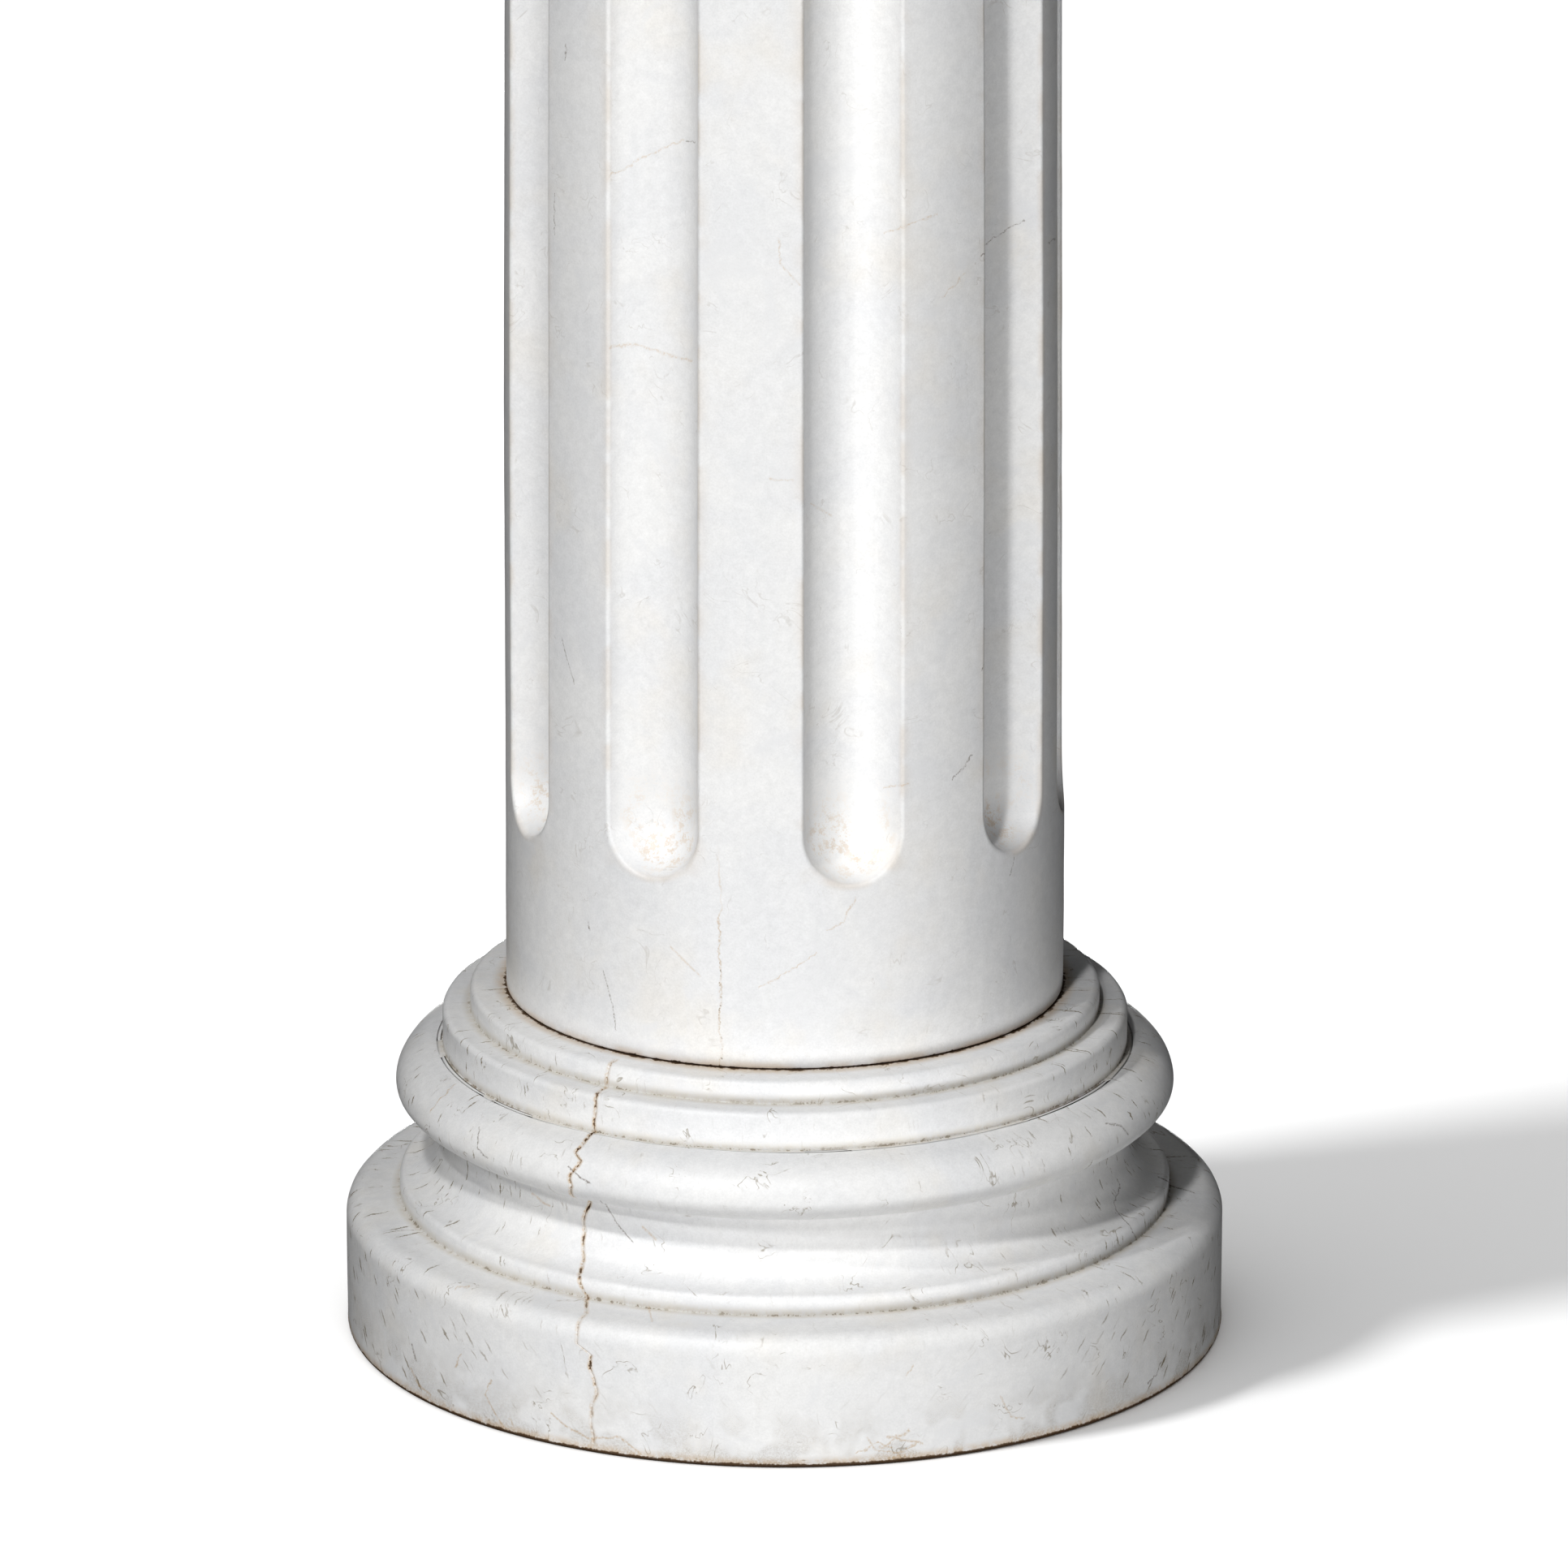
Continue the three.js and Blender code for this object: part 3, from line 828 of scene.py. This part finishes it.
def shaft_marble(look):
    """Marble of the shaft: cleaner, with a faint vein, soil in the flutes' ends and a dark foot line."""
    m = Marble("shaft_marble_look", look, 0.3)
    angle, radius, around, down = m.front()
    depth = m.add("ShaderNodeAttribute", attribute_name="flute_depth").outputs["Fac"]
    m.coat("stain", m.between(m.height, 0.47, 0.40), m.between(depth, 0.1, 0.6),
           m.between(m.uneven, 0.47, 0.60), m.between(m.broad, 0.35, 0.6), 0.45)
    m.coat("stain", m.between(depth, 0.0, 0.12), m.between(depth, 0.26, 0.14),
           m.between(m.broad, 0.4, 0.6), 0.2)

    from_joint = m.math("SUBTRACT", m.height, SHAFT_FOOT)
    m.coat("stain", m.between(from_joint, 0.007, 0.001), m.between(m.broad, 0.3, 0.6), 0.4)
    joint = m.under(from_joint, m.scaled(m.uneven, 0.0075, -0.0030), 0.0005)

    bend = m.scaled(m.small, 0.035, m.scaled(m.broad, 0.05, -0.0425))
    vein_off = m.math("ABSOLUTE", m.math("ADD", m.math("SUBTRACT", angle, math.radians(VEIN_ANGLE)), bend))
    m.coat("stain", m.between(vein_off, 0.006, 0.0), m.between(m.height, 0.43, 0.36),
           m.between(m.broad, 0.35, 0.55, 0.3, 1.0), m.between(m.crystal, 0.35, 0.6, 0.1, 0.55))
    dots = m.product(m.between(vein_off, 0.005, 0.002), m.between(m.height, 0.37, 0.31),
                     m.between(m.crystal, 0.56, 0.68), 0.8)

    dark = m.drawn_lines(around, down, SHAFT_TAN, SHAFT_DARK, 0.42, 0.58, 0.2)
    return m.finish(0.9, dots, joint, dark)


def capital_marble(look):
    """Marble of the capital: as the shaft's, with a dark line and a little soil above the joint."""
    m = Marble("capital_marble_look", look, 0.3)
    from_joint = m.math("SUBTRACT", m.height, CAPITAL_FOOT)
    m.coat("stain", m.between(from_joint, 0.006, 0.0), m.between(m.small, 0.35, 0.6), 0.4)
    return m.finish(0.9, m.under(from_joint, m.scaled(m.small, 0.003, -0.0007), 0.0005))


def length(name, description, default):
    """A length property in metres."""
    return FloatProperty(name=name, description=description, default=default, min=0.0, unit="LENGTH",
                         precision=4)


def factor(name, description, default, most=1.0):
    """A property for a share, or for a factor up to the most that makes sense."""
    return FloatProperty(name=name, description=description, default=default, min=0.0, max=most,
                         subtype="FACTOR")


def tint(name, description, default):
    """A colour property."""
    return FloatVectorProperty(name=name, description=description, default=default, subtype="COLOR",
                               min=0.0, max=1.0, size=3)


class ColumnBaseSize(bpy.types.PropertyGroup):
    """Sizes of the moulded base."""

    plinth_radius: length("Plinth radius", "Radius of the round plinth", BASE_BOX[1][0])
    plinth_height: length("Plinth height", "Height where the plinth meets the fillet", 0.099)
    plinth_fall: length("Plinth fall", "How far the plinth's top falls to its edge", 0.0015)
    plinth_edge: length("Plinth edge", "Radius of the plinth's upper edge", 0.015)
    foot_edge: length("Foot edge", "Radius of the edge at the ground", 0.003)
    fillet_radius: length("Fillet radius", "Radius of the fillet under the scotia", 0.278)
    fillet_top: length("Fillet top", "Height of the fillet's top", 0.1135)
    scotia_radius: length("Scotia radius", "Radius at the scotia's throat", 0.246)
    scotia_height: length("Scotia height", "Height of the scotia's throat", 0.148)
    torus_radius: length("Torus radius", "Radius of the torus at its widest", 0.28)
    torus_reach: length("Torus reach", "How far the torus swells out", 0.034)
    torus_height: length("Torus height", "Height of the torus's widest line", 0.1825)
    torus_foot: length("Torus foot", "Height of the torus's lowest line", 0.163)
    lower_ring_radius: length("Lower ring radius", "Radius of the lower ring", 0.246)
    lower_ring_foot: length("Lower ring foot", "Height of the lower ring's foot", 0.2105)
    upper_ring_radius: length("Upper ring radius", "Radius of the upper ring", 0.226)
    upper_ring_foot: length("Upper ring foot", "Height of the upper ring's foot", 0.238)
    base_height: length("Base height", "Height of the base", BASE_TOP)
    ring_edge: length("Ring edge", "Radius of the rings' and the fillet's edges", 0.0045)
    corner: length("Hollow corner", "Radius left in the hollow corners", 0.001)
    unevenness: length("Unevenness", "How uneven the hand-worked faces are", 0.0006)
    crack_depth: length("Crack depth", "Depth of the crack down the front", 0.0010)
    crack_raggedness: factor("Crack raggedness", "How far the crack wavers from its path", 1.0, 3.0)
    columns: IntProperty(name="Facets", description="Even facets round the base", default=430, min=32)


class ColumnShaftSize(bpy.types.PropertyGroup):
    """Sizes of the fluted shaft."""

    foot_radius: length("Foot radius", "Radius of the shaft at its foot", SHAFT_BOX[1][0])
    diminution: factor("Diminution", "Share of the radius lost at the top", 1 / 6)
    swelling: FloatProperty(name="Swelling", description="Power of the curve that draws the shaft in",
                            default=1.8, min=1.0, max=4.0)
    flute_width: length("Flute width", "Width of a flute", 0.0705)
    flute_depth: length("Flute depth", "Depth of a flute", 0.027)
    flute_arc: length("Flute arc", "Length of the hollow's arc from its middle to the arris", 0.0478)
    flute_start: length("Flute start", "Height of the flutes' ends above the shaft's foot", 0.1345)
    flute_end: length("Flute end", "Distance of the flutes' ends under the shaft's top", 0.12)
    front_flutes: FloatVectorProperty(name="Front flutes", default=(-67.0, -28.0, 14.0, 55.0), size=4,
                                      description="Angles of the four front flutes in degrees")
    arris: length("Arris", "Size of the rounding on the flutes' arrises", 0.003)
    foot_edge: length("Foot edge", "Radius of the edges at the joints", 0.0015)
    unevenness: length("Unevenness", "How uneven the hand-worked faces are", 0.0005)


class ColumnCapitalSize(bpy.types.PropertyGroup):
    """Sizes of the plain capital."""

    neck_radius: length("Neck radius", "Radius of the neck", 0.16667)
    astragal: length("Astragal", "Radius of the bead at the neck's foot", 0.009)
    neck_height: length("Neck height", "Height of the neck", 0.052)
    annulet_height: length("Annulet height", "Height of each small step", 0.008)
    annulet_step: length("Annulet step", "How far each small step stands out", 0.006)
    echinus_lip: length("Echinus lip", "How far the slab stands past the echinus", 0.01)
    abacus_width: length("Abacus width", "Width of the square slab", 2 * CAPITAL_BOX[1][0])
    abacus_height: length("Abacus height", "Height of the square slab", 0.066)
    abacus_edge: length("Abacus edge", "Radius of the slab's edges", 0.003)
    unevenness: length("Unevenness", "How uneven the hand-worked faces are", 0.0004)


class MarbleLook(bpy.types.PropertyGroup):
    """Colours and finish of the marble."""

    stone: tint("Stone", "Main white of the marble", (0.885, 0.883, 0.877))
    cool: tint("Grey cloud", "Cool grey of the cloudy patches", (0.838, 0.841, 0.847))
    warm: tint("Cream patch", "Cream of the warm patches", (0.865, 0.845, 0.81))
    vein: tint("Veins", "Grey-brown of strokes, veins and specks", (0.29, 0.24, 0.17))
    stain: tint("Stain", "Brown of the old stain beside joints and cracks", (0.58, 0.42, 0.25))
    # The corners' warm grey stands for dust together with painted shade in the hollow corners.
    dust_and_shade: tint("Dust_and_shade", "Warm grey of the dust near the corners", (0.62, 0.57, 0.48))
    soil: tint("Soil", "Brown of the soil in the corners", (0.22, 0.16, 0.095))
    # The crack colour also darkens the joints, the drawn marks and, on the base, the painted contact shadow
    # at the foot.
    crack: tint("Crack", "Dark brown inside the cracks", (0.11, 0.062, 0.03))
    vein_share: factor("Vein strength", "How dark the hairline veins are", 0.6)
    roughness: factor("Roughness", "Roughness of the honed marble", 0.42)


def strength(name, description, default):
    """The strength of a light."""
    return FloatProperty(name=name, description=description, default=default, min=0.0)


class StudioLook(bpy.types.PropertyGroup):
    """The pale floor and the studio's light."""

    floor: tint("Floor", "Colour of the floor", (0.9, 0.9, 0.9))
    high: strength("High light", "Strength of the high light in front", 0.63)
    key: strength("Key light", "Strength of the crisp light from the upper left", 0.37)
    side: strength("Side light", "Strength of the crisp light from the left", 0.34)
    front: strength("Front light", "Strength of the light in front", 0.23)
    level: strength("Level light", "Strength of the nearly level light in front", 0.16)
    right: strength("Right light", "Strength of the high light from the right", 0.12)
    low: strength("Low light", "Strength of the light that comes up from a pale ground in front", 0.46)
    low_left: strength("Low light, left", "Strength of the light that comes up from the left", 0.30)
    low_right: strength("Low light, right", "Strength of the light that comes up from the right", 0.44)
    back: strength("Back light", "Strength of the low light behind the column", 1.7)
    floor_key: strength("Floor light", "Strength of the light that casts the shadow on the floor", 1.45)
    overhead: strength("Overhead light", "Strength of the wide soft light on the floor", 1.85)
    fill: strength("Fill", "Strength of the even fill light", 0.015)


# Name of the strength, angle from the front, angle above the floor, and spread of each light, in degrees.
COLUMN_LIGHTS = [
    ("high", -18, 50, 4), ("key", -46, 50, 3), ("side", -38, 34, 3), ("front", -18, 34, 3),
    ("level", -18, 18, 8), ("right", 26, 50, 5), ("low", 10, -15, 20), ("low_left", -25, -15, 20),
    ("low_right", 45, -15, 20), ("back", 180, -10, 10),
]
FLOOR_LIGHTS = [("floor_key", -67, 42, 9), ("overhead", -67, 66, 145)]


def settle(piece, material, node):
    """Gives a piece its material, its body and the node that it stands for."""
    piece.data.materials.append(material)
    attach(piece, "root")
    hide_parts(node)


class COLUMN_OT_base_block(bpy.types.Operator):
    """Build the moulded base"""

    bl_idname = "column.base_block"
    bl_label = "Base"

    def execute(self, context):
        scene = context.scene
        piece = closed_mesh("base_block", *base_grid(scene.column_base))
        settle(piece, base_marble(scene.column_marble), "base")
        return {"FINISHED"}


class COLUMN_OT_fluted_shaft(bpy.types.Operator):
    """Build the fluted shaft"""

    bl_idname = "column.fluted_shaft"
    bl_label = "Shaft"

    def execute(self, context):
        scene = context.scene
        piece = closed_mesh("fluted_shaft", *shaft_grid(scene.column_shaft))
        settle(piece, shaft_marble(scene.column_marble), "shaft")
        return {"FINISHED"}


class COLUMN_OT_capital_block(bpy.types.Operator):
    """Build the plain capital"""

    bl_idname = "column.capital_block"
    bl_label = "Capital"

    def execute(self, context):
        scene = context.scene
        piece = closed_mesh("capital_block", *capital_grid(scene.column_capital))
        settle(piece, capital_marble(scene.column_marble), "capital")
        return {"FINISHED"}


def light_way(turn, rise):
    """The way that light travels from a lamp at this angle from the front and above the floor."""
    return Vector((-math.sin(turn) * math.cos(rise), math.cos(turn) * math.cos(rise), -math.sin(rise)))


def sun_lamp(name, strength, turn, rise, spread, lit):
    """A sun lamp that lights only the objects of one collection."""
    lamp = bpy.data.lights.new(name, "SUN")
    lamp.energy = strength
    lamp.angle = spread
    piece = bpy.data.objects.new(name, lamp)
    piece.rotation_euler = light_way(turn, rise).to_track_quat("-Z", "Y").to_euler()
    piece.location = -6 * light_way(turn, rise)
    piece.light_linking.receiver_collection = lit
    bpy.context.scene.collection.objects.link(piece)


def pale_floor(look):
    """A wide level floor of one plain pale finish that takes the shadow and sends no light back up."""
    material = bpy.data.materials.new("pale_floor")
    material.use_nodes = True
    face = material.node_tree.nodes["Principled BSDF"]
    face.inputs["Base Color"].default_value = colour(look.floor)
    face.inputs["Roughness"].default_value = 0.9
    face.inputs["Specular IOR Level"].default_value = 0.1
    mesh = bpy.data.meshes.new("studio_floor")
    corners = [(x * FLOOR_REACH, y * FLOOR_REACH, 0) for x, y in ((-1, -1), (1, -1), (1, 1), (-1, 1))]
    mesh.from_pydata(corners, [], [(0, 1, 2, 3)])
    mesh.materials.append(material)
    floor = bpy.data.objects.new("studio_floor", mesh)
    bpy.context.scene.collection.objects.link(floor)
    floor.visible_diffuse = False
    floor.visible_glossy = False
    floor.visible_shadow = False
    floor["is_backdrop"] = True
    return floor


def studio_world(look):
    """White behind everything, and an even dim fill for all that it lights."""
    world = bpy.data.worlds.new("studio")
    world.use_nodes = True
    world.node_tree.nodes.clear()
    sky = Shader(world.node_tree)
    seen = sky.add("ShaderNodeBackground", {"Color": (1, 1, 1, 1), "Strength": 0.75})
    fill = sky.add("ShaderNodeBackground", {"Color": (0.97, 0.985, 1, 1), "Strength": look.fill})
    ray = sky.add("ShaderNodeLightPath").outputs["Is Camera Ray"]
    mix = sky.add("ShaderNodeMixShader", {0: ray, 1: fill.outputs[0], 2: seen.outputs[0]})
    sky.add("ShaderNodeOutputWorld", {"Surface": mix.outputs[0]})
    bpy.context.scene.world = world


def photo_camera():
    """The camera stands in front of the column, above its middle, and looks down on the base."""
    data = bpy.data.cameras.new("camera")
    data.sensor_width = SENSOR
    data.lens = FOCAL_LENGTH / PHOTO_SIZE * SENSOR
    data.clip_end = 1000
    data.dof.use_dof = False
    camera = bpy.data.objects.new("camera", data)
    camera.location = CAMERA_PLACE
    camera.rotation_euler = (math.radians(90 - CAMERA_FALL), 0, 0)
    bpy.context.scene.collection.objects.link(camera)
    bpy.context.scene.camera = camera


class COLUMN_OT_studio(bpy.types.Operator):
    """Build the floor, the lights and the camera"""

    bl_idname = "column.studio"
    bl_label = "Studio"

    def execute(self, context):
        scene = context.scene
        look = scene.column_studio
        column = bpy.data.collections.new("lit_column")
        ground = bpy.data.collections.new("lit_floor")
        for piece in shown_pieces():
            column.objects.link(piece)
        ground.objects.link(pale_floor(look))
        for lights, lit in ((COLUMN_LIGHTS, column), (FLOOR_LIGHTS, ground)):
            for name, *angles in lights:
                sun_lamp(f"{name}_light", getattr(look, name), *map(math.radians, angles), lit)
        studio_world(look)
        photo_camera()
        scene.view_settings.view_transform = "Standard"
        scene.view_settings.look = "High Contrast"
        return {"FINISHED"}


class COLUMN_PT_panel(bpy.types.Panel):
    """The column's operators and settings in the sidebar"""

    bl_idname = "COLUMN_PT_panel"
    bl_label = "Marble column"
    bl_space_type = "VIEW_3D"
    bl_region_type = "UI"
    bl_category = "Column"

    def draw(self, context):
        for operator in OPERATORS:
            self.layout.operator(operator.bl_idname)
        for name in SETTINGS:
            group = getattr(context.scene, name)
            box = self.layout.box()
            box.label(text=group.__class__.__name__)
            for prop in group.__class__.__annotations__:
                box.prop(group, prop)


OPERATORS = (COLUMN_OT_base_block, COLUMN_OT_fluted_shaft, COLUMN_OT_capital_block, COLUMN_OT_studio)
SETTINGS = {
    "column_base": ColumnBaseSize,
    "column_shaft": ColumnShaftSize,
    "column_capital": ColumnCapitalSize,
    "column_marble": MarbleLook,
    "column_studio": StudioLook,
}


def register():
    """Registers the settings, the operators and the panel."""
    for name, group in SETTINGS.items():
        bpy.utils.register_class(group)
        setattr(bpy.types.Scene, name, PointerProperty(type=group))
    for operator in (*OPERATORS, COLUMN_PT_panel):
        bpy.utils.register_class(operator)


def unregister():
    """Takes them away again."""
    for operator in reversed((*OPERATORS, COLUMN_PT_panel)):
        bpy.utils.unregister_class(operator)
    for name, group in SETTINGS.items():
        delattr(bpy.types.Scene, name)
        bpy.utils.unregister_class(group)


def main():
    register()
    bpy.ops.column.base_block()
    bpy.ops.column.fluted_shaft()
    bpy.ops.column.capital_block()
    bpy.ops.column.studio()


if __name__ == "__main__":
    main()
